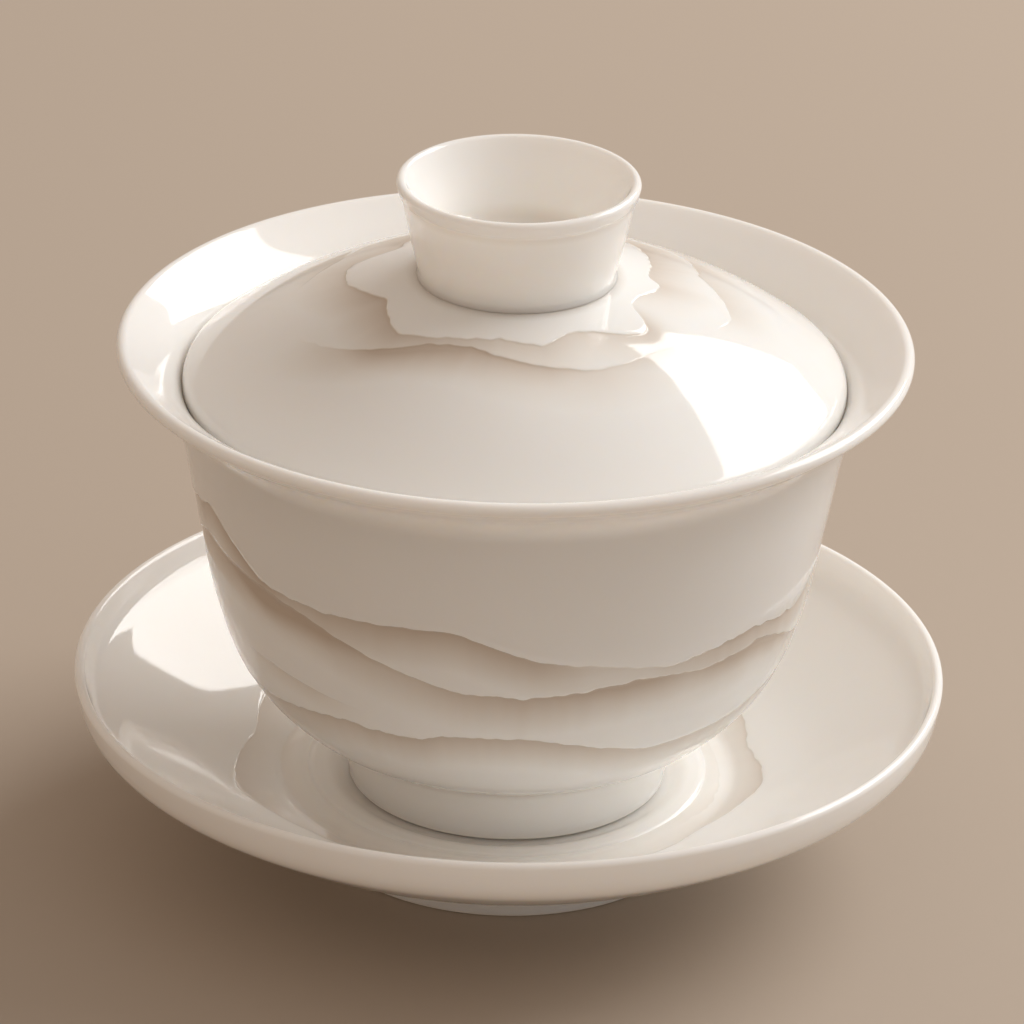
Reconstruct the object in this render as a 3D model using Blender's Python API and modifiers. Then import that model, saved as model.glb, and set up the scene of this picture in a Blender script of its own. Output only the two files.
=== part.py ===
"""Gaiwan: a porcelain tea bowl with a domed lid and a saucer.

Three pieces stack on one upright axis. The saucer stands on its foot ring, the bowl's foot stands in
the saucer's seat, and the lid's edge rests inside the bowl's flared lip. The lid's hollow knob is formed
on its own and luted to the dome. Lengths are in metres, +Z is up, and the origin is the centre of the
saucer's foot ring on the table.
"""

import math

import bpy

STEPS = 56  # facets round the axis
GAP = 0.0003  # clearance between a piece and the one that carries it
FOOT_EDGE_ROUND = 0.0004
FREE_EDGE = 0.0011  # how far from a free edge's rounding the inner wall stops

# Saucer, heights from the table
SAUCER_RADIUS = 0.0556
SAUCER_EDGE_ROUND = 0.00065
SAUCER_EDGE_HEIGHT = 0.0233  # centre of the rounded edge
SAUCER_FOOT_RADIUS = 0.0248
SAUCER_FOOT_WIDTH = 0.0026
SAUCER_FOOT_HEIGHT = 0.0056  # where the underside's curve ends, just outside the foot ring
SAUCER_FOOT_FILLET = 0.0026  # how far outside
SAUCER_FOOT_JOIN = 0.0040  # height at which the foot ring meets the saucer's underside
SAUCER_FOOT_FLARE = 0.0008  # how much wider the foot ring is there
SAUCER_RECESS = 0.0050  # depth under the floor, inside the foot ring
SEAT_HEIGHT = 0.0083
SEAT_RADIUS = 0.0216
SEAT_STEP = 0.0007  # rise of the dish's floor round the seat
SEAT_SLOPE = 0.0006  # width of that rise
DISH_START = 0.0290  # distance from the axis at which the dish's floor starts to slope
SAUCER_WALL = 0.0026
SAUCER_EDGE_WALL = 0.0013  # the wall thins towards the edge

# Bowl, heights from its own foot
BOWL_RADIUS = 0.0500
LIP_ROUND = 0.0009
LIP_HEIGHT = 0.0595  # centre of the rounded lip
BOWL_FOOT_RADIUS = 0.0204
BOWL_FOOT_WIDTH = 0.0026
BOWL_FOOT_HEIGHT = 0.0066
BOWL_FOOT_FLARE = 0.0009  # how much wider the foot ring is where it meets the body
BOWL_RECESS = 0.0050
BOWL_FLOOR_HEIGHT = 0.0080
BOWL_FLOOR_RADIUS = 0.0120
BOWL_HOLLOW_START = 0.0180  # distance from the axis at which the hollow starts to follow the wall
BOWL_WALL = 0.0021
BOWL_EDGE_WALL = 0.0018

# Lid, heights from its widest ring
LID_RADIUS = 0.0417
LID_SEAT_HEIGHT = 0.0548  # widest ring above the bowl's foot
DOME_SPHERE = 0.0680
LID_WALL = 0.0026
LID_EDGE_ROUND = 0.0022
LID_UNDER_ROUND = 0.0009
LUTE_GAP = 0.0004  # clearance under the knob, on the dome's facets

# Knob, heights from its base
KNOB_RADIUS = 0.01523
KNOB_EDGE_ROUND = 0.00063
KNOB_HEIGHT = 0.01245
KNOB_BEAD_DEPTH = 0.0021  # height of the rolled bead round its top
KNOB_NECK_RADIUS = 0.01455
KNOB_BASE_RADIUS = 0.0121
KNOB_FLOOR_HEIGHT = 0.0024
KNOB_FLOOR_RADIUS = 0.0078
KNOB_WALL = 0.0013

PORCELAIN = (0.80, 0.76, 0.70, 1.0)


def arc(centre, radius, start, end, count):
    """Points on an arc, in degrees from outward (0) to up (90)."""
    points = []
    for i in range(count):
        angle = math.radians(start + (end - start) * i / (count - 1))
        points.append((centre[0] + radius * math.cos(angle), centre[1] + radius * math.sin(angle)))
    return points


def smooth(knots, per_span):
    """Points on a Catmull-Rom curve through the knots."""
    first = tuple(2 * a - b for a, b in zip(knots[0], knots[1]))
    last = tuple(2 * a - b for a, b in zip(knots[-1], knots[-2]))
    chain = [first, *knots, last]
    points = []
    for p0, p1, p2, p3 in zip(chain, chain[1:], chain[2:], chain[3:]):
        for i in range(per_span):
            t = i / per_span
            points.append(tuple(
                b + 0.5 * t * (c - a + t * (2 * a - 5 * b + 4 * c - d + t * (3 * (b - c) + d - a)))
                for a, b, c, d in zip(p0, p1, p2, p3)))
    return points + [knots[-1]]


def inside(outline, wall, edge_wall):
    """The outline moved sideways by the wall, towards the axis and up. The wall thins to its free edge."""
    moved = []
    thinned = len(outline) / 3
    for i, (r, z) in enumerate(outline):
        thickness = wall + (edge_wall - wall) * max(0.0, 1 - i / thinned)
        before = outline[max(i - 1, 0)]
        after = outline[min(i + 1, len(outline) - 1)]
        dr, dz = after[0] - before[0], after[1] - before[1]
        length = math.hypot(dr, dz)
        moved.append((r + thickness * dz / length, z - thickness * dr / length))
    return moved


def foot_ring(radius, width, flare, height, recess):
    """Outline of a foot ring, from the body down its outer side, and up its inner side to the axis."""
    edge = FOOT_EDGE_ROUND
    inner = radius - width
    return (
        [(radius + flare, height)]
        + arc((radius - edge, edge), edge, 0, -90, 3)
        + arc((inner + edge, edge), edge, 270, 180, 3)
        + arc((inner - 2 * edge, recess - 2 * edge), 2 * edge, 0, 90, 3)
        + [(inner / 2, recess), (0.0, recess)]
    )


def saucer_outline():
    edge = (SAUCER_RADIUS - SAUCER_EDGE_ROUND, SAUCER_EDGE_HEIGHT)
    under = smooth([
        (SAUCER_RADIUS - 0.0001, SAUCER_EDGE_HEIGHT - 0.0008),
        (0.0545, 0.0192),
        (0.0505, 0.0161),
        (0.0410, 0.0105),
        (0.0330, 0.0073),
        (SAUCER_FOOT_RADIUS + SAUCER_FOOT_FILLET, SAUCER_FOOT_HEIGHT),
    ], 2)
    dish = inside(under, SAUCER_WALL, SAUCER_EDGE_WALL)
    dish = [(r, z) for r, z in dish if r > DISH_START and z < edge[1] - FREE_EDGE]
    step = SEAT_HEIGHT + SEAT_STEP
    seat = [
        (0.0, SEAT_HEIGHT),
        (SEAT_RADIUS / 2, SEAT_HEIGHT),
        (SEAT_RADIUS, SEAT_HEIGHT),
        (SEAT_RADIUS + SEAT_SLOPE, step - 0.0001),
        (SEAT_RADIUS + 2 * SEAT_SLOPE, step),
    ]
    return (
        seat
        + dish[::-1]
        + arc(edge, SAUCER_EDGE_ROUND, 170, -10, 6)
        + under[1:]
        + foot_ring(SAUCER_FOOT_RADIUS, SAUCER_FOOT_WIDTH, SAUCER_FOOT_FLARE, SAUCER_FOOT_JOIN,
                    SAUCER_RECESS)
    )


def bowl_outline():
    lip = (BOWL_RADIUS - LIP_ROUND, LIP_HEIGHT)
    wall = smooth([
        (0.0494, 0.0586),
        (0.0443, 0.0546),
        (0.0419, 0.0485),
        (0.0402, 0.0394),
        (0.0377, 0.0269),
        (0.0342, 0.0176),
        (0.0284, 0.0110),
        (0.0222, 0.0075),
    ], 2)
    hollow = inside(wall, BOWL_WALL, BOWL_EDGE_WALL)
    hollow = [(r, z) for r, z in hollow if BOWL_HOLLOW_START < r < lip[0] - FREE_EDGE]
    floor = [(0.0, BOWL_FLOOR_HEIGHT), (BOWL_FLOOR_RADIUS, BOWL_FLOOR_HEIGHT + 0.0003)]
    return (
        floor
        + hollow[::-1]
        + arc(lip, LIP_ROUND, 130, -40, 6)
        + wall[1:]
        + foot_ring(BOWL_FOOT_RADIUS, BOWL_FOOT_WIDTH, BOWL_FOOT_FLARE, BOWL_FOOT_HEIGHT, BOWL_RECESS)
    )


def on_sphere(radius, top, start, end, count):
    """Points of a dome's outline between two distances from the axis."""
    points = []
    for i in range(count):
        r = start + (end - start) * i / (count - 1)
        points.append((r, top - radius + math.sqrt(radius * radius - r * r)))
    return points


def dome_top():
    """Height of the dome's top, where the dome runs into the edge's rounding without a crease."""
    to_rounding = DOME_SPHERE - LID_EDGE_ROUND
    return DOME_SPHERE - math.sqrt(to_rounding**2 - (LID_RADIUS - LID_EDGE_ROUND) ** 2)


def lid_outline():
    top = dome_top()
    rounding = (LID_RADIUS - LID_EDGE_ROUND, 0.0)
    meets = math.degrees(math.acos(rounding[0] / (DOME_SPHERE - LID_EDGE_ROUND)))
    dome_edge = DOME_SPHERE * math.cos(math.radians(meets))
    under_round = (LID_RADIUS - LID_UNDER_ROUND - 0.0002, -0.0002)
    return (
        on_sphere(DOME_SPHERE, top, 0.0, dome_edge, 9)
        + arc(rounding, LID_EDGE_ROUND, meets, 0, 4)[1:]
        + arc(under_round, LID_UNDER_ROUND, -15, -125, 4)
        + on_sphere(DOME_SPHERE - LID_WALL, top - LID_WALL, 0.0390, 0.0, 7)
    )


def knob_outline():
    edge = (KNOB_RADIUS - KNOB_EDGE_ROUND, KNOB_HEIGHT - KNOB_EDGE_ROUND)
    bead_foot = KNOB_HEIGHT - KNOB_BEAD_DEPTH
    corner = KNOB_BASE_RADIUS - KNOB_WALL
    hollow = smooth([
        (KNOB_FLOOR_RADIUS, KNOB_FLOOR_HEIGHT),
        (corner - 0.0002, KNOB_FLOOR_HEIGHT + 0.0016),
        (edge[0] - KNOB_EDGE_ROUND - 0.0003, KNOB_HEIGHT - 0.0021),
    ], 2)
    side = [
        (KNOB_NECK_RADIUS + 0.0003, bead_foot + 0.0003),
        (KNOB_NECK_RADIUS, bead_foot - 0.0002),
        (KNOB_BASE_RADIUS + 0.0005, 0.0024),
        (KNOB_BASE_RADIUS, 0.0),
    ]
    dome = dome_top() + LUTE_GAP - knob_base_height()
    base = on_sphere(DOME_SPHERE, dome, KNOB_BASE_RADIUS - 0.0006, 0.0, 4)
    return (
        [(0.0, KNOB_FLOOR_HEIGHT)]
        + hollow
        + arc(edge, KNOB_EDGE_ROUND, 165, -20, 6)
        + side
        + base
    )


def knob_base_height():
    """Height of the knob's base edge above the lid's widest ring, with the gap above the dome."""
    dome = dome_top() - DOME_SPHERE + math.sqrt(DOME_SPHERE**2 - KNOB_BASE_RADIUS**2)
    return dome + LUTE_GAP


def porcelain():
    material = bpy.data.materials.new("porcelain")
    material.use_nodes = True
    shader = material.node_tree.nodes["Principled BSDF"]
    shader.inputs["Base Color"].default_value = PORCELAIN
    shader.inputs["Roughness"].default_value = 0.12
    shader.inputs["Metallic"].default_value = 0.0
    return material


def turned(name, outline, collection, parent=None, height=0.0):
    """A turned piece: its outline screwed round the upright axis, standing at a height on its parent."""
    mesh = bpy.data.meshes.new(name)
    edges = [(i, i + 1) for i in range(len(outline) - 1)]
    mesh.from_pydata([(r, 0.0, z) for r, z in outline], edges, [])
    piece = bpy.data.objects.new(name, mesh)
    collection.objects.link(piece)
    piece.parent = parent
    piece.location.z = height
    mesh.materials.append(porcelain())
    screw = piece.modifiers.new("turn", "SCREW")
    screw.steps = STEPS
    screw.render_steps = STEPS
    screw.use_merge_vertices = True
    screw.merge_threshold = 0.00001
    screw.use_smooth_shade = True
    return piece


def clear_scene():
    for item in list(bpy.data.objects):
        bpy.data.objects.remove(item, do_unlink=True)


def build():
    clear_scene()
    collection = bpy.data.collections.new("gaiwan")
    bpy.context.scene.collection.children.link(collection)
    saucer = turned("saucer", saucer_outline(), collection)
    bowl = turned("bowl", bowl_outline(), collection, saucer, SEAT_HEIGHT + GAP)
    lid = turned("lid", lid_outline(), collection, bowl, LID_SEAT_HEIGHT)
    turned("lid_knob", knob_outline(), collection, lid, knob_base_height())


build()
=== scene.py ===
"""Gaiwan in white porcelain: a saucer, a lidded bowl and low carved relief of layered hills.

Each piece is turned round the upright axis from an outline of (distance from the axis, height) points,
and the carved pieces then step down at each ridge line and rise gently back to the turned surface.
Lengths are in millimetres, heights are from the table, and angles go from the front towards the right.
"""

import math

import bpy
import numpy as np
from mathutils import Matrix, Vector


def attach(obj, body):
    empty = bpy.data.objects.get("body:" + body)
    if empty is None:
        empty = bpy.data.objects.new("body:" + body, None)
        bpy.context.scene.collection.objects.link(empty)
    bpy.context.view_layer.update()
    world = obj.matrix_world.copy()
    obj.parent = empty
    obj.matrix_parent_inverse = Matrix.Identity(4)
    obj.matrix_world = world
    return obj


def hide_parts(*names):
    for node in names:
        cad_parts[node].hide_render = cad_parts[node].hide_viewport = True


METRE = 1000.0
SEED = 7

# Turned shapes. Sizes are the CAD's, apart from LID_SEATED and BOWL_HOLLOW_START.
SAUCER_RADIUS, SAUCER_EDGE_ROUND, SAUCER_EDGE_HEIGHT = 55.6, 0.65, 23.3
SAUCER_FOOT_RADIUS, SAUCER_FOOT_WIDTH, SAUCER_RECESS = 24.8, 2.6, 5.0
SEAT_HEIGHT, SEAT_RADIUS, SEAT_STEP = 8.3, 21.6, 0.7
SAUCER_WALL, SAUCER_EDGE_WALL = 2.6, 1.3
BOWL_BASE = 8.6
BOWL_RADIUS, LIP_ROUND, LIP_HEIGHT = 50.0, 0.9, 68.1
BOWL_FOOT_RADIUS, BOWL_FOOT_WIDTH, BOWL_RECESS = 20.4, 2.6, 5.0
BOWL_WALL, BOWL_EDGE_WALL = 2.1, 1.8
LID_RADIUS, LID_HEIGHT, LID_EDGE_ROUND, LID_UNDER_ROUND = 41.7, 63.4, 2.2, 0.9
DOME_SPHERE, LID_WALL, DOME_TOP = 68.0, 2.6, 78.775
LID_SEATED = 0.10  # the lower rounding's circle reaches this far past LID_RADIUS, nearer to the flare
KNOB_RADIUS, KNOB_EDGE_ROUND, KNOB_TOP = 15.23, 0.63, 90.54
KNOB_BASE, KNOB_FLOOR = 12.1, 80.5
FOOT_ROUND = 0.4
FREE_EDGE = 1.1  # how far from a free edge's rounding the inner wall stops
BOWL_HOLLOW_START = 18.5  # distance from the axis at which the hollow starts to follow the wall
DISH_START = 29.0  # distance from the axis at which the dish starts to follow the underside
COVERED = 55.0  # height below which the lid hides the hollow at rest, so that fewer rows do

# The carved edge of each ridge
STEP_WIDTH = 0.28  # from the turned surface down to the bottom of the cut
CUT_DEPTH = 0.22
LEAST_APART = 0.7  # between two ridges, where they meet
STEP_ROWS = 4
OUTLINE_SPACING = 0.1  # between the points of an outline that is carved
THINNED = 6  # an inner wall's curve goes through one in this many of its points
LIP_POINTS, EDGE_POINTS = 4, 2  # left out at the start of the bowl's wall and the saucer's underside
BOWL_CARVED_TOP = 58.0  # height
LID_CARVED_START = 12.6  # distance from the axis, just outside the knob
DISH_CARVED_EDGE = 42.0  # distance from the axis


# ---------------------------------------------------------------- outlines

def arc(centre, radius, start, end, count):
    """Points on an arc, in degrees from outward (0) to up (90)."""
    angles = np.radians(np.linspace(start, end, count))
    return np.column_stack([centre[0] + radius * np.cos(angles), centre[1] + radius * np.sin(angles)])


def smooth(knots, per_span=24):
    """Points on a Catmull-Rom curve through the knots."""
    knots = np.asarray(knots, float)
    chain = np.vstack([2 * knots[0] - knots[1], knots, 2 * knots[-1] - knots[-2]])
    a, b, c, d = chain[:-3], chain[1:-2], chain[2:-1], chain[3:]
    points = [
        b + 0.5 * t * (c - a + t * (2 * a - 5 * b + 4 * c - d + t * (3 * (b - c) + d - a)))
        for t in np.arange(per_span) / per_span
    ]
    return np.vstack([np.stack(points, 1).reshape(-1, 2), knots[-1:]])


def travelled(points):
    """Distance along the outline to each of its points."""
    return np.concatenate([[0.0], np.cumsum(np.hypot(*np.diff(points, axis=0).T))])


def even(points, spacing):
    """The outline with its points moved to even distances along it."""
    points = np.asarray(points, float)
    far = travelled(points)
    at = np.linspace(0.0, far[-1], max(2, int(round(far[-1] / spacing)) + 1))
    return np.column_stack([np.interp(at, far, points[:, 0]), np.interp(at, far, points[:, 1])])


def normals(points):
    """Unit vectors to the left of the outline's direction, which is away from the clay."""
    along = np.gradient(points, axis=0)
    along /= np.hypot(*along.T)[:, None]
    return np.column_stack([-along[:, 1], along[:, 0]])


def inside(outline, wall, edge_wall):
    """The outline moved into the clay by the wall, which thins towards the outline's start."""
    share = np.arange(len(outline)) / (len(outline) / 3)
    thickness = wall + (edge_wall - wall) * np.maximum(0.0, 1 - share)
    return outline - normals(outline) * thickness[:, None]


def dome(radius, start, end, spacing):
    """A stretch of a dome about the lid's centre of curvature, between two distances from the axis."""
    centre = DOME_TOP - DOME_SPHERE
    r = np.linspace(start, end, 200)
    return even(np.column_stack([r, centre + np.sqrt(radius**2 - r**2)]), spacing)


def foot_ring(radius, width, base, recess, start):
    """Rows of a foot ring in three blocks: outer side, bare standing face, and recess up to the axis."""
    inner = radius - width
    round_ = FOOT_ROUND
    side = even(smooth(start + [(radius, base + 0.9)]), 0.35)
    face = np.vstack([
        arc((radius - round_, base + round_), round_, 0, -90, 6),
        arc((inner + round_, base + round_), round_, 270, 180, 6),
    ])
    hollow = np.vstack([
        arc((inner - 2 * round_, base + recess - 2 * round_), 2 * round_, 0, 90, 8),
        even([(inner - 2.5 * round_, base + recess), (0.0, base + recess)], 3.0),
    ])
    return side, face, hollow


# ---------------------------------------------------------------- relief

def ring(points, columns, blur=1.0):
    """A value round the axis, through (degrees, value) points, with its corners rounded by blur degrees."""
    angles, values = zip(*sorted(points))
    round_the_axis = np.interp(np.arange(columns) * 360.0 / columns, angles, values, period=360.0)
    waves = np.fft.rfft(round_the_axis)
    waves *= np.exp(-0.5 * (np.arange(len(waves)) * math.radians(blur)) ** 2)
    return np.fft.irfft(waves, columns)


def rugged(columns, seed, size, radius):
    """Small peaks and notches of a carved ridge line, at about that distance from the axis."""
    random = np.random.default_rng(seed)
    turn = np.arange(columns) * 2 * math.pi / columns
    line = np.zeros(columns)
    for length, height in ((8.1, 0.9), (4.7, 0.9), (2.8, 0.7), (1.9, 0.4)):
        count = round(2 * math.pi * radius / length)
        line += height * np.abs(np.sin(count * turn / 2 + random.uniform(0, math.pi)))
        line += 0.5 * height * np.sin((count + 8) * turn + random.uniform(0, 2 * math.pi))
    slow = 0.5 + 0.5 * np.sin(3 * turn + random.uniform(0, 2 * math.pi))
    return size * (0.4 + 0.6 * slow) * (line - line.mean())


class Ridge:
    """A carved line: where it runs, how strong it is and how far the cut below it reaches."""

    def __init__(self, line, strength, fade, columns, seed, radius, jag=0.14):
        self.line = ring(line, columns, 1.8) + rugged(columns, seed, jag, radius)
        self.strength = np.maximum(ring(strength, columns, 2.5), 0.0)
        self.fade = fade


def carved(outline, ridges, band_rows, backwards=False):
    """Rows of a carved stretch. Returns (rows, columns, 2) places and how much painted shade, partly standing
    for pooled glaze, darkens each.

    Rows follow the ridges, so that every edge is clean. With backwards set, the outline's direction is
    against the cut's, and the rows are returned in the outline's direction.
    """
    points = outline[::-1] if backwards else outline
    far = travelled(points)
    out = -normals(points) if backwards else normals(points)
    columns = len(ridges[0].line)

    stops = [np.zeros(columns)]
    for ridge in ridges:
        middle = np.maximum(ridge.line, stops[-1] + LEAST_APART - STEP_WIDTH / 2)
        stops += [middle - STEP_WIDTH / 2, middle + STEP_WIDTH / 2]
    stops.append(np.full(columns, far[-1]))

    rows = [stops[0][None]]
    for i, (start, end) in enumerate(zip(stops, stops[1:])):
        count = STEP_ROWS if i % 2 else band_rows[i // 2]
        share = np.arange(1, count + 1)[:, None] / count
        rows.append(start + (end - start) * share)
    at = np.vstack(rows)

    cut = np.zeros_like(at)
    # Painted shade below each ridge line, darkest at the cut and fading away over the ridge's fade; it stands
    # partly for glaze pooled in the cut.
    painted_shade = np.zeros_like(at)
    for i, ridge in enumerate(ridges):
        edge = stops[2 * i + 1]
        step = np.clip((at - edge) / STEP_WIDTH, 0.0, 1.0)
        step = step * step * (3 - 2 * step)
        left = np.clip(1 - (at - edge) / ridge.fade, 0.0, 1.0)
        cut += CUT_DEPTH * ridge.strength * step * left**2
        painted_shade += ridge.strength * step * left**1.1
    place = np.stack([
        np.interp(at, far, points[:, 0]) - cut * np.interp(at, far, out[:, 0]),
        np.interp(at, far, points[:, 1]) - cut * np.interp(at, far, out[:, 1]),
    ], -1)
    painted_shade = np.clip(painted_shade, 0.0, 1.4)
    return (place[::-1], painted_shade[::-1]) if backwards else (place, painted_shade)


def along(outline, values, axis):
    """(degrees, distance or height) points turned into (degrees, distance along the outline)."""
    far = travelled(outline)
    order = np.argsort(outline[:, axis])
    return [(angle, float(np.interp(v, outline[order, axis], far[order]))) for angle, v in values]


# ---------------------------------------------------------------- meshes

def turned(name, blocks, columns, materials, creases):
    """A closed piece from blocks of rows, each (rows, tone, material index), from the axis round to it.

    Painted shade, partly standing for pooled glaze, also darkens creases, each given as (place, share at its
    deepest, reach).
    """
    places, painted_shades, faces_of = [], [], []
    for rows, painted_shade, index in blocks:
        rows = np.asarray(rows, float)
        if rows.ndim == 2:
            rows = np.repeat(rows[:, None], columns, 1)
        painted_shade = np.broadcast_to(np.asarray(painted_shade, float), rows.shape[:2])
        if places and np.allclose(places[-1][-1], rows[0], atol=1e-6):
            rows, painted_shade = rows[1:], painted_shade[1:]
        places.append(rows)
        painted_shades.append(painted_shade)
        faces_of += [index] * len(rows)
    rows, painted_shade = np.vstack(places), np.vstack(painted_shades)
    # Painted shade in the creases, partly standing for pooled glaze.
    for place, share, reach in creases:
        away = np.hypot(*(rows - place).transpose(2, 0, 1))
        painted_shade = painted_shade + share * np.clip(1 - away / reach, 0.0, 1.0)
    angle = np.arange(columns) * 2 * math.pi / columns
    ring_rows = rows[1:-1]
    ring_points = np.stack([
        ring_rows[..., 0] * np.sin(angle),
        -ring_rows[..., 0] * np.cos(angle),
        ring_rows[..., 1],
    ], -1).reshape(-1, 3)
    first, last = (0.0, 0.0, rows[0, 0, 1]), (0.0, 0.0, rows[-1, 0, 1])
    points = np.vstack([ring_points, [first], [last]]) / METRE

    count = len(ring_rows)
    index = np.arange(count * columns).reshape(count, columns)
    beside = np.roll(index, -1, 1)
    quads = np.stack([index[:-1], index[1:], beside[1:], beside[:-1]], -1).reshape(-1, 4)
    top, bottom = count * columns, count * columns + 1
    faces = quads.tolist()
    faces += [(top, a, b) for a, b in zip(index[0], beside[0])]
    faces += [(a, bottom, b) for a, b in zip(index[-1], beside[-1])]

    mesh = bpy.data.meshes.new(name)
    mesh.from_pydata(points.tolist(), [], faces)
    for material in materials:
        mesh.materials.append(material)
    slots = np.repeat(np.array(faces_of[1:count], int), columns)
    slots = np.concatenate([slots, np.full(columns, faces_of[0]), np.full(columns, faces_of[-1])])
    mesh.polygons.foreach_set("material_index", slots.astype(np.int32))
    mesh.polygons.foreach_set("use_smooth", np.ones(len(faces), bool))
    values = np.concatenate([painted_shade[1:-1].reshape(-1), [painted_shade[0, 0], painted_shade[-1, 0]]])
    # The recess attribute carries the painted shade to the glaze's colour.
    mesh.attributes.new("recess", "FLOAT", "POINT").data.foreach_set("value", values.astype(np.float32))
    mesh.update()
    piece = bpy.data.objects.new(name, mesh)
    bpy.context.scene.collection.objects.link(piece)
    return piece


# ---------------------------------------------------------------- finishes

GLAZE = (0.95, 0.934, 0.903, 1.0)
# Painted shade, warmer and darker, partly standing for glaze pooled in cuts and creases.
POOLED_AND_SHADED = (0.59, 0.50, 0.42, 1.0)
SPECK = (0.20, 0.15, 0.10, 1.0)
BISQUE = (0.88, 0.85, 0.80, 1.0)


class Finish:
    """A material with a Principled shader, and shorthand for the nodes that feed it."""

    def __init__(self, name, **values):
        self.material = bpy.data.materials.new(name)
        self.material.use_nodes = True
        self.tree = self.material.node_tree
        self.shader = self.tree.nodes["Principled BSDF"]
        for socket, value in values.items():
            self.shader.inputs[socket.replace("_", " ")].default_value = value
        self.place = self.tree.nodes.new("ShaderNodeTexCoord").outputs["Object"]

    def feed(self, socket, value):
        """Sets a socket to a constant, or links it to another node's output."""
        if isinstance(value, bpy.types.NodeSocket):
            self.tree.links.new(value, socket)
        else:
            socket.default_value = value

    def noise(self, scale, detail):
        node = self.tree.nodes.new("ShaderNodeTexNoise")
        node.inputs["Scale"].default_value = scale
        node.inputs["Detail"].default_value = detail
        self.feed(node.inputs["Vector"], self.place)
        return node.outputs["Fac"]

    def calculated(self, operation, first, second):
        node = self.tree.nodes.new("ShaderNodeMath")
        node.operation = operation
        self.feed(node.inputs[0], first)
        self.feed(node.inputs[1], second)
        return node.outputs[0]

    def mixed(self, share, first, second):
        node = self.tree.nodes.new("ShaderNodeMix")
        node.data_type = "RGBA"
        self.feed(node.inputs["Factor"], share)
        self.feed(node.inputs["A"], first)
        self.feed(node.inputs["B"], second)
        return node.outputs["Result"]

    def bump(self, height, strength, distance, under=None):
        node = self.tree.nodes.new("ShaderNodeBump")
        node.inputs["Strength"].default_value = strength
        node.inputs["Distance"].default_value = distance
        self.feed(node.inputs["Height"], height)
        if under:
            self.feed(node.inputs["Normal"], under)
        return node.outputs["Normal"]

    def cells(self, scale):
        """Small cells over the surface: how far from each one's centre, and a random colour for each."""
        node = self.tree.nodes.new("ShaderNodeTexVoronoi")
        node.inputs["Scale"].default_value = scale
        self.feed(node.inputs["Vector"], self.place)
        chosen = self.tree.nodes.new("ShaderNodeSeparateColor")
        self.feed(chosen.inputs["Color"], node.outputs["Color"])
        return node.outputs["Distance"], chosen.outputs

    def fading(self, value, start, end):
        """1 where the value is at the end, down to 0 where it is at the start."""
        node = self.tree.nodes.new("ShaderNodeMapRange")
        node.inputs["From Min"].default_value = start
        node.inputs["From Max"].default_value = end
        self.feed(node.inputs["Value"], value)
        return node.outputs["Result"]


def glaze(name):
    """Clear glaze over white porcelain, with painted shade, darker and warmer, in the cuts of the relief and
    in creases, partly standing for pooled glaze.
    """
    finish = Finish(name, Roughness=0.06, IOR=1.5, Subsurface_Weight=0.5,
                    Subsurface_Radius=(1.0, 0.85, 0.72), Subsurface_Scale=0.004)
    recess = finish.tree.nodes.new("ShaderNodeAttribute")
    recess.attribute_name = "recess"
    # Mixes in the painted shade from the recess attribute.
    colour = finish.mixed(recess.outputs["Fac"], GLAZE, POOLED_AND_SHADED)

    away, chosen = finish.cells(130.0)
    rare = finish.calculated("GREATER_THAN", chosen["Red"], 0.985)
    near = finish.calculated("LESS_THAN", away, 0.035)
    speckled = finish.mixed(finish.calculated("MULTIPLY", rare, near), colour, SPECK)
    finish.feed(finish.shader.inputs["Base Color"], speckled)

    few = finish.calculated("GREATER_THAN", chosen["Blue"], 0.975)
    pimples = finish.calculated("MULTIPLY", few, finish.fading(away, 0.05, 0.0))
    normal = finish.bump(pimples, 0.6, 0.0002)
    normal = finish.bump(finish.noise(22.0, 1.0), 0.35, 0.0006, normal)
    normal = finish.bump(finish.noise(420.0, 2.0), 0.05, 0.0001, normal)
    finish.feed(finish.shader.inputs["Normal"], normal)
    return finish.material


def bare(name):
    """Unglazed porcelain: the foot rings' standing faces, and what the lid and the knob rest on."""
    finish = Finish(name, Roughness=0.65, Base_Color=BISQUE)
    finish.feed(finish.shader.inputs["Normal"], finish.bump(finish.noise(2500.0, 2.0), 0.3, 0.0001))
    return finish.material


# ---------------------------------------------------------------- the pieces

# Ridge lines, each given by its summits and saddles: (degrees, height) on the bowl, and
# (degrees, distance from the axis) on the lid and the saucer. A strength is (degrees, share of the full cut).
BOWL_FIRST = [
    (-65, 53), (-50, 46.5), (-35, 46), (-10, 47), (5, 43), (20, 41.5), (30, 40), (50, 41.5), (65, 40),
    (85, 43), (105, 47), (120, 44.5), (140, 49), (170, 43), (210, 51), (225, 47.5), (245, 49.5), (260, 47),
]
BOWL_FIRST_STRENGTH = [
    (-80, 1.1), (-50, 1.1), (-45, 0.7), (-20, 1), (5, 1), (15, 0.4), (27, 0.4), (45, 1), (140, 1), (170, 0.4),
    (200, 0.9), (260, 0.7),
]
BOWL_SECOND = [
    (-70, 48), (-40, 44.5), (-25, 41), (-10, 38), (5, 37.5), (25, 39), (40, 38), (55, 39), (75, 34),
    (100, 38), (120, 41), (140, 38), (160, 41), (180, 38.5), (230, 43), (250, 39.5), (270, 43),
]
BOWL_SECOND_STRENGTH = [
    (-70, 1.1), (-45, 1), (-20, 0.7), (0, 1), (25, 1), (35, 0.4), (45, 0.8), (75, 0.8), (120, 1), (230, 1),
]
BOWL_FAINT = [(-55, 34.5), (-30, 32.5), (0, 34), (60, 32.5), (140, 35), (170, 33), (220, 35), (250, 33)]
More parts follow.
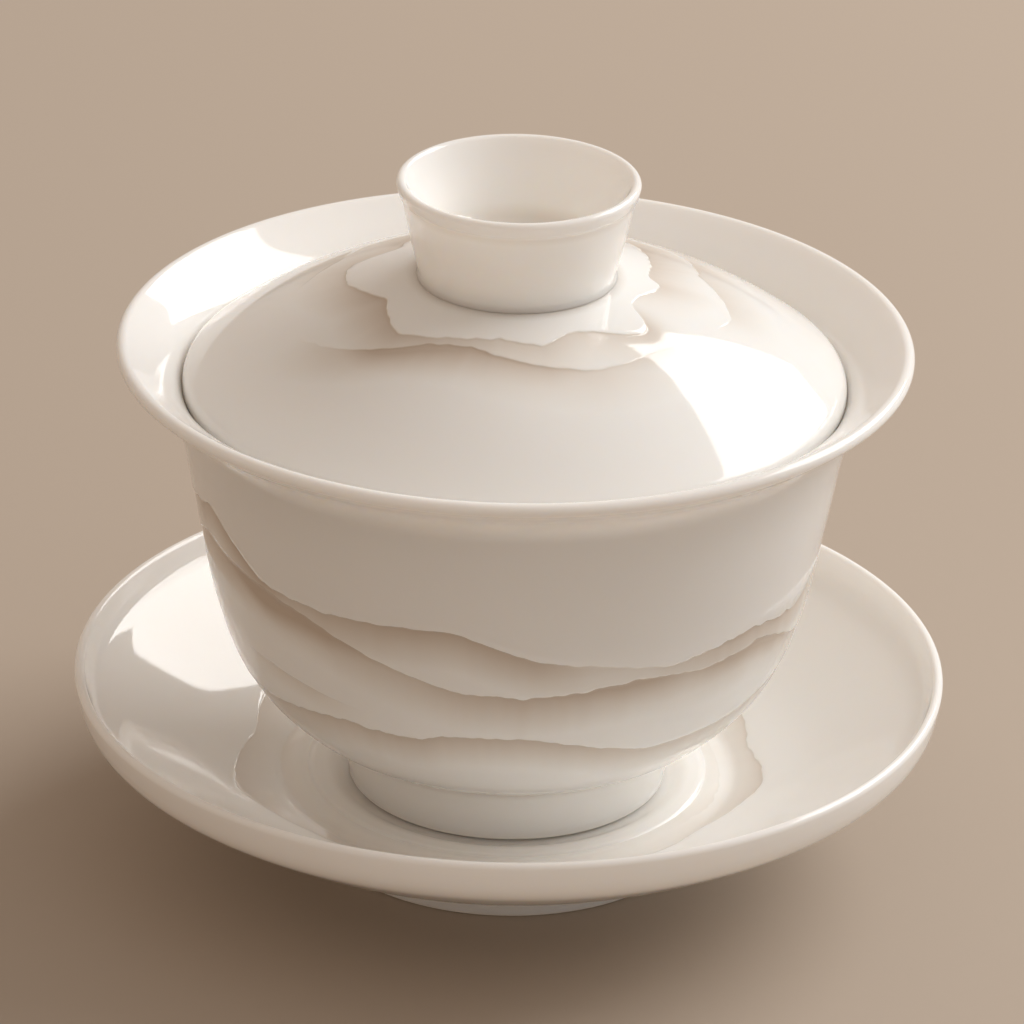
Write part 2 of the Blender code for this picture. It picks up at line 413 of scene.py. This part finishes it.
BOWL_FAINT_STRENGTH = [
    (-60, 0), (-50, 0.5), (-40, 0.5), (-30, 0), (100, 0), (125, 0.5), (175, 0), (220, 0), (240, 0.5),
    (285, 0),
]
BOWL_THIRD = [
    (-65, 27), (-35, 30), (-20, 29.5), (-10, 31), (5, 31), (30, 27), (50, 27.5), (80, 30.5), (105, 27.5),
    (130, 30.5), (155, 28), (180, 30), (210, 27.5), (240, 29.5), (265, 28),
]
BOWL_THIRD_STRENGTH = [(-65, 0.7), (-20, 0.9), (10, 0.9), (35, 0.7), (80, 0.8), (155, 0.9), (210, 0.7)]

LID_FIRST = [
    (-95, 21.5), (-70, 17), (-45, 20.5), (-25, 18.5), (-5, 17.5), (10, 19), (20, 17), (30, 17), (50, 20.5),
    (55, 20), (62, 16), (72, 15.5), (90, 18), (100, 16.5), (140, 22), (160, 18), (180, 20.5), (200, 17.5),
    (215, 21), (235, 18.5), (250, 22.5),
]
LID_FIRST_STRENGTH = [
    (-95, 0.6), (-75, 1), (-50, 0.9), (-30, 0.7), (-5, 0.6), (45, 0.6), (55, 0.8), (65, 0.2), (90, 0.7),
    (130, 0.9), (160, 0.6), (215, 0.9),
]
LID_SECOND = [
    (-65, 28), (-50, 25), (-40, 22.5), (-30, 20), (-15, 19.5), (5, 22), (25, 24), (45, 23.5), (60, 24),
    (85, 27), (110, 24.5), (135, 28), (160, 25), (190, 26), (215, 28.5), (240, 25.5), (270, 29),
]
LID_SECOND_STRENGTH = [
    (-70, 0), (-45, 0.8), (-25, 0.7), (25, 0.5), (45, 0.3), (60, 0), (75, 0), (90, 0.5), (135, 0.6), (165, 0),
    (190, 0), (210, 0.6), (240, 0.5), (260, 0),
]
SAUCER_FIRST = [
    (5, 31), (25, 30), (40, 30.5), (55, 29.5), (80, 33.5), (100, 31.5), (125, 35), (145, 32), (170, 34.5),
    (190, 31.5), (240, 36), (260, 33), (290, 36.5), (310, 32.5), (335, 30.5),
]
SAUCER_FIRST_STRENGTH = [
    (10, 0.15), (40, 0.3), (80, 0.6), (100, 0.4), (125, 0.6), (165, 0.5), (190, 0.3), (240, 0.6), (260, 0.4),
    (290, 0.6), (320, 0.4), (345, 0.2),
]
SAUCER_SECOND = [(0, 27.5), (50, 27), (70, 28), (100, 27), (140, 28.5), (190, 27), (240, 29.5), (290, 29)]
SAUCER_SECOND_STRENGTH = [
    (0, 0), (50, 0), (70, 0.2), (100, 0.1), (140, 0.2), (190, 0.1), (240, 0.2), (330, 0),
]


def bowl_piece():
    columns = 512
    wall = smooth([
        (49.4, 67.2), (44.3, 63.2), (41.9, 57.1), (40.2, 48.0), (37.7, 35.5), (34.2, 26.2), (28.4, 19.6),
        (22.2, 16.1),
    ])
    lip = (BOWL_RADIUS - LIP_ROUND, LIP_HEIGHT)
    hollow = inside(wall, BOWL_WALL, BOWL_EDGE_WALL)
    hollow = hollow[(hollow[:, 0] > BOWL_HOLLOW_START) & (hollow[:, 0] < lip[0] - FREE_EDGE)][::-1]
    hollow = smooth([(0.0, 16.6), (6.0, 16.62), (12.0, 16.9), *hollow[::THINNED]], 8)
    covered = int(np.argmin(np.abs(hollow[:, 1] - COVERED)))

    split = int(np.argmin(np.abs(wall[:, 1] - BOWL_CARVED_TOP)))
    flare = even(wall[LIP_POINTS:split + 1], 0.9)
    relief = even(wall[split:], OUTLINE_SPACING)
    lines = (
        (BOWL_FIRST, BOWL_FIRST_STRENGTH, 6.0),
        (BOWL_SECOND, BOWL_SECOND_STRENGTH, 6.5),
        (BOWL_FAINT, BOWL_FAINT_STRENGTH, 3.5),
        (BOWL_THIRD, BOWL_THIRD_STRENGTH, 6.0),
    )
    ridges = [
        Ridge(along(relief, line, 1), strength, fade, columns, SEED + i, 40.0)
        for i, (line, strength, fade) in enumerate(lines)
    ]
    rows, painted_shade = carved(relief, ridges, (12, 12, 10, 10, 20))
    side, face, recess = foot_ring(
        BOWL_FOOT_RADIUS, BOWL_FOOT_WIDTH, BOWL_BASE, BOWL_RECESS,
        [(22.2, 16.1), (21.7, 15.7), (21.4, 15.1), (21.2, 14.0)])
    blocks = [
        (even(hollow[:covered + 1], 3.0), 0.0, 0),
        (even(hollow[covered:], 1.1), 0.0, 0),
        (arc(lip, LIP_ROUND, 130, -52, 16), 0.0, 0),
        (flare, 0.0, 0),
        (rows, painted_shade, 0),
        (side, 0.0, 0),
        (face, 0.0, 1),
        (recess, 0.0, 0),
    ]
    # Painted shade in the creases at the foot, partly standing for pooled glaze.
    creases = [((21.8, 15.8), 0.3, 1.3), ((20.4, 8.9), 0.2, 1.0)]
    return turned("bowl_body", blocks, columns, (glaze("bowl_glaze"), bare("bowl_bare")), creases)


def lid_piece():
    columns = 512
    rounding = (LID_RADIUS - LID_EDGE_ROUND, LID_HEIGHT)
    meets = math.degrees(math.acos(rounding[0] / (DOME_SPHERE - LID_EDGE_ROUND)))
    edge = DOME_SPHERE * math.cos(math.radians(meets))
    relief = dome(DOME_SPHERE, LID_CARVED_START, edge, OUTLINE_SPACING)
    lines = ((LID_FIRST, LID_FIRST_STRENGTH, 8.0), (LID_SECOND, LID_SECOND_STRENGTH, 7.5))
    ridges = [
        Ridge(along(relief, line, 0), strength, fade, columns, SEED + 20 + i, 20.0, 0.15)
        for i, (line, strength, fade) in enumerate(lines)
    ]
    rows, painted_shade = carved(relief, ridges, (12, 14, 40))
    under_round = (LID_RADIUS - LID_UNDER_ROUND + LID_SEATED, LID_HEIGHT - 2 * LID_SEATED)
    blocks = [
        (dome(DOME_SPHERE, 0.0, LID_CARVED_START, 1.6), 0.0, 0),
        (rows, painted_shade, 0),
        (arc(rounding, LID_EDGE_ROUND, meets, 0, 10), 0.0, 0),
        (arc(under_round, LID_UNDER_ROUND, -15, -125, 8), 0.0, 1),
        (dome(DOME_SPHERE - LID_WALL, 39.0, 0.0, 1.8), 0.0, 0),
    ]
    # Painted shade in the crease round the knob's base, partly standing for pooled glaze.
    creases = [((12.7, 77.6), 0.4, 1.2)]
    return turned("lid_dome", blocks, columns, (glaze("lid_glaze"), bare("lid_bare")), creases)


def knob_piece():
    base = DOME_TOP - DOME_SPHERE + math.sqrt(DOME_SPHERE**2 - KNOB_BASE**2)
    edge = (KNOB_RADIUS - KNOB_EDGE_ROUND, KNOB_TOP - KNOB_EDGE_ROUND)
    hollow = smooth([
        (0.0, KNOB_FLOOR), (3.5, KNOB_FLOOR + 0.05), (7.4, KNOB_FLOOR + 0.25), (9.7, KNOB_FLOOR + 1.5),
        (11.2, KNOB_FLOOR + 4.2), (12.6, KNOB_TOP - 3.2), (13.5, KNOB_TOP - 1.3),
    ])
    side = smooth([
        (14.95, KNOB_TOP - 1.75), (14.6, KNOB_TOP - 2.15), (14.42, KNOB_TOP - 2.7), (13.5, base + 5.4),
        (12.75, base + 2.4), (12.4, base + 0.9), (12.36, base + 0.4), (12.6, base + 0.02),
    ])
    blocks = [
        (even(hollow, 0.5), 0.0, 0),
        (arc(edge, KNOB_EDGE_ROUND, 165, -35, 14), 0.0, 0),
        (even(side, 0.3), 0.0, 0),
        (dome(DOME_SPHERE - 0.3, 12.0, 0.0, 2.0), 0.0, 1),
    ]
    # Painted shade in the creases of the knob, partly standing for pooled glaze.
    creases = [
        ((12.6, base), 0.4, 0.9),
        ((14.5, KNOB_TOP - 2.5), 0.2, 0.8),
        ((9.2, KNOB_FLOOR + 0.8), 0.25, 2.2),
    ]
    return turned("knob_cup", blocks, 256, (glaze("knob_glaze"), bare("knob_bare")), creases)


def saucer_piece():
    columns = 480
    under = smooth([(55.5, 22.5), (54.5, 19.2), (50.5, 16.1), (41.0, 10.5), (33.0, 7.3), (27.4, 5.6)])
    edge = (SAUCER_RADIUS - SAUCER_EDGE_ROUND, SAUCER_EDGE_HEIGHT)
    dish = inside(under, SAUCER_WALL, SAUCER_EDGE_WALL)
    dish = dish[(dish[:, 0] > DISH_START) & (dish[:, 1] < edge[1] - FREE_EDGE)][::-1]
    step = SEAT_HEIGHT + SEAT_STEP
    seat = smooth([
        (0.0, SEAT_HEIGHT), (10.0, SEAT_HEIGHT), (20.6, SEAT_HEIGHT), (SEAT_RADIUS, SEAT_HEIGHT + 0.12),
        (SEAT_RADIUS + 0.7, step - 0.15), (SEAT_RADIUS + 1.6, step), (25.6, step + 0.05),
    ])
    dish = smooth([(25.6, step + 0.05), (27.0, 9.1), *dish[::THINNED]], 8)
    split = int(np.argmin(np.abs(dish[:, 0] - DISH_CARVED_EDGE)))
    relief = even(dish[:split + 1], OUTLINE_SPACING)
    span = travelled(relief)[-1]

    def inwards(line):
        return [(angle, span - place) for angle, place in along(relief, line, 0)]

    lines = ((SAUCER_FIRST, SAUCER_FIRST_STRENGTH, 6.5), (SAUCER_SECOND, SAUCER_SECOND_STRENGTH, 4.0))
    ridges = [
        Ridge(inwards(line), strength, fade, columns, SEED + 40 + i, 32.0, 0.1)
        for i, (line, strength, fade) in enumerate(lines)
    ]
    rows, painted_shade = carved(relief, ridges, (16, 12, 12), backwards=True)
    side, face, recess = foot_ring(
        SAUCER_FOOT_RADIUS, SAUCER_FOOT_WIDTH, 0.0, SAUCER_RECESS, [(27.4, 5.6), (26.2, 4.9), (25.5, 4.0)])
    blocks = [
        (even(seat, 1.0), 0.0, 0),
        (rows, painted_shade, 0),
        (even(dish[split:], 1.0), 0.0, 0),
        (arc(edge, SAUCER_EDGE_ROUND, 170, -10, 14), 0.0, 0),
        (even(under[EDGE_POINTS:], 1.1), 0.0, 0),
        (side, 0.0, 0),
        (face, 0.0, 1),
        (recess, 0.0, 0),
    ]
    # Painted shade in the creases of the seat, partly standing for pooled glaze.
    creases = [((20.6, 8.3), 0.2, 1.3), ((22.2, 8.7), 0.2, 0.9)]
    return turned("saucer_body", blocks, columns, (glaze("saucer_glaze"), bare("saucer_bare")), creases)


def add_pieces():
    for make, body, node, slot in (
        (saucer_piece, "saucer", "saucer", "saucer_porcelain"),
        (bowl_piece, "bowl", "bowl", "bowl_porcelain"),
        (lid_piece, "lid", "lid", "lid_porcelain"),
        (knob_piece, "lid", "lid_knob", "knob_porcelain"),
    ):
        piece = make()
        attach(piece, body)
        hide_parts(node)


# ---------------------------------------------------------------- stage, light and camera

FLOOR = (0.455, 0.38, 0.31)
ROOM_DIM = (0.50, 0.40, 0.32)
ROOM_BRIGHT = (0.58, 0.56, 0.54)
ROOM_BRIGHT_SIDE = Vector((0.9, 0.05, 0.0))
WINDOW = Vector((0.68, 0.44, 0.58))  # direction of the softbox from the bowl
WINDOW_DISTANCE, WINDOW_WIDTH, WINDOW_HEIGHT, WINDOW_POWER = 1.3, 1.25, 0.72, 15.5

RIM_CENTRE = Vector((0.0, 0.0, 0.0681))
CAMERA_DISTANCE, CAMERA_RISE = 0.8062, 23.665
CAMERA_PITCH, CAMERA_ROLL = 25.16, 1.2
CAMERA_LENS = 226.2


def add_floor():
    mesh = bpy.data.meshes.new("floor")
    half = 6.0
    corners = [(-half, -half, 0), (half, -half, 0), (half, half, 0), (-half, half, 0)]
    mesh.from_pydata(corners, [], [(0, 1, 2, 3)])
    floor = bpy.data.objects.new("floor", mesh)
    bpy.context.scene.collection.objects.link(floor)
    material = bpy.data.materials.new("floor")
    material.use_nodes = True
    shader = material.node_tree.nodes["Principled BSDF"]
    shader.inputs["Base Color"].default_value = (*FLOOR, 1.0)
    shader.inputs["Roughness"].default_value = 0.7
    mesh.materials.append(material)


def add_light():
    data = bpy.data.lights.new("softbox", "AREA")
    data.shape = "RECTANGLE"
    data.size, data.size_y = WINDOW_WIDTH, WINDOW_HEIGHT
    data.energy = WINDOW_POWER
    data.color = (1.0, 0.99, 0.975)
    softbox = bpy.data.objects.new("softbox", data)
    bpy.context.scene.collection.objects.link(softbox)
    softbox.location = RIM_CENTRE + WINDOW.normalized() * WINDOW_DISTANCE
    softbox.rotation_mode = "QUATERNION"
    softbox.rotation_quaternion = (RIM_CENTRE - softbox.location).to_track_quat("-Z", "Y")

    world = bpy.data.worlds.new("room")
    world.use_nodes = True
    nodes, links = world.node_tree.nodes, world.node_tree.links
    place = nodes.new("ShaderNodeTexCoord")
    facing = nodes.new("ShaderNodeVectorMath")
    facing.operation = "DOT_PRODUCT"
    facing.inputs[1].default_value = ROOM_BRIGHT_SIDE.normalized()
    links.new(place.outputs["Generated"], facing.inputs[0])
    share = nodes.new("ShaderNodeMapRange")
    share.interpolation_type = "SMOOTHSTEP"
    share.inputs["From Min"].default_value = -0.5
    share.inputs["From Max"].default_value = 1.0
    links.new(facing.outputs["Value"], share.inputs["Value"])
    blend = nodes.new("ShaderNodeMix")
    blend.data_type = "RGBA"
    blend.inputs["A"].default_value = (*ROOM_DIM, 1.0)
    blend.inputs["B"].default_value = (*ROOM_BRIGHT, 1.0)
    links.new(share.outputs["Result"], blend.inputs["Factor"])
    links.new(blend.outputs["Result"], nodes["Background"].inputs["Color"])
    bpy.context.scene.world = world


def add_camera():
    rise, pitch, roll = (math.radians(a) for a in (CAMERA_RISE, CAMERA_PITCH, CAMERA_ROLL))
    data = bpy.data.cameras.new("camera")
    data.sensor_width = 36.0
    data.lens = CAMERA_LENS
    camera = bpy.data.objects.new("camera", data)
    bpy.context.scene.collection.objects.link(camera)
    level = Matrix.Rotation(math.radians(90) - pitch, 4, "X")
    tilt = Matrix.Rotation(roll, 4, "Z")
    back = Vector((0.0, -math.cos(rise), math.sin(rise)))
    camera.matrix_world = Matrix.Translation(RIM_CENTRE + back * CAMERA_DISTANCE) @ level @ tilt
    bpy.context.scene.camera = camera


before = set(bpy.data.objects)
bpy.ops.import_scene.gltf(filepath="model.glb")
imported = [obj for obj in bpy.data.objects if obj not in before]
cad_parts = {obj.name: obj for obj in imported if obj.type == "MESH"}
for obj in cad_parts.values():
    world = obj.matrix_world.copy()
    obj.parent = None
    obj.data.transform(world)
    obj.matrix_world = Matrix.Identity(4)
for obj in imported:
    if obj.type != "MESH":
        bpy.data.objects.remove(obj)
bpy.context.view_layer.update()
add_pieces()
add_floor()
add_light()
add_camera()
bpy.context.scene.view_settings.view_transform = "Standard"
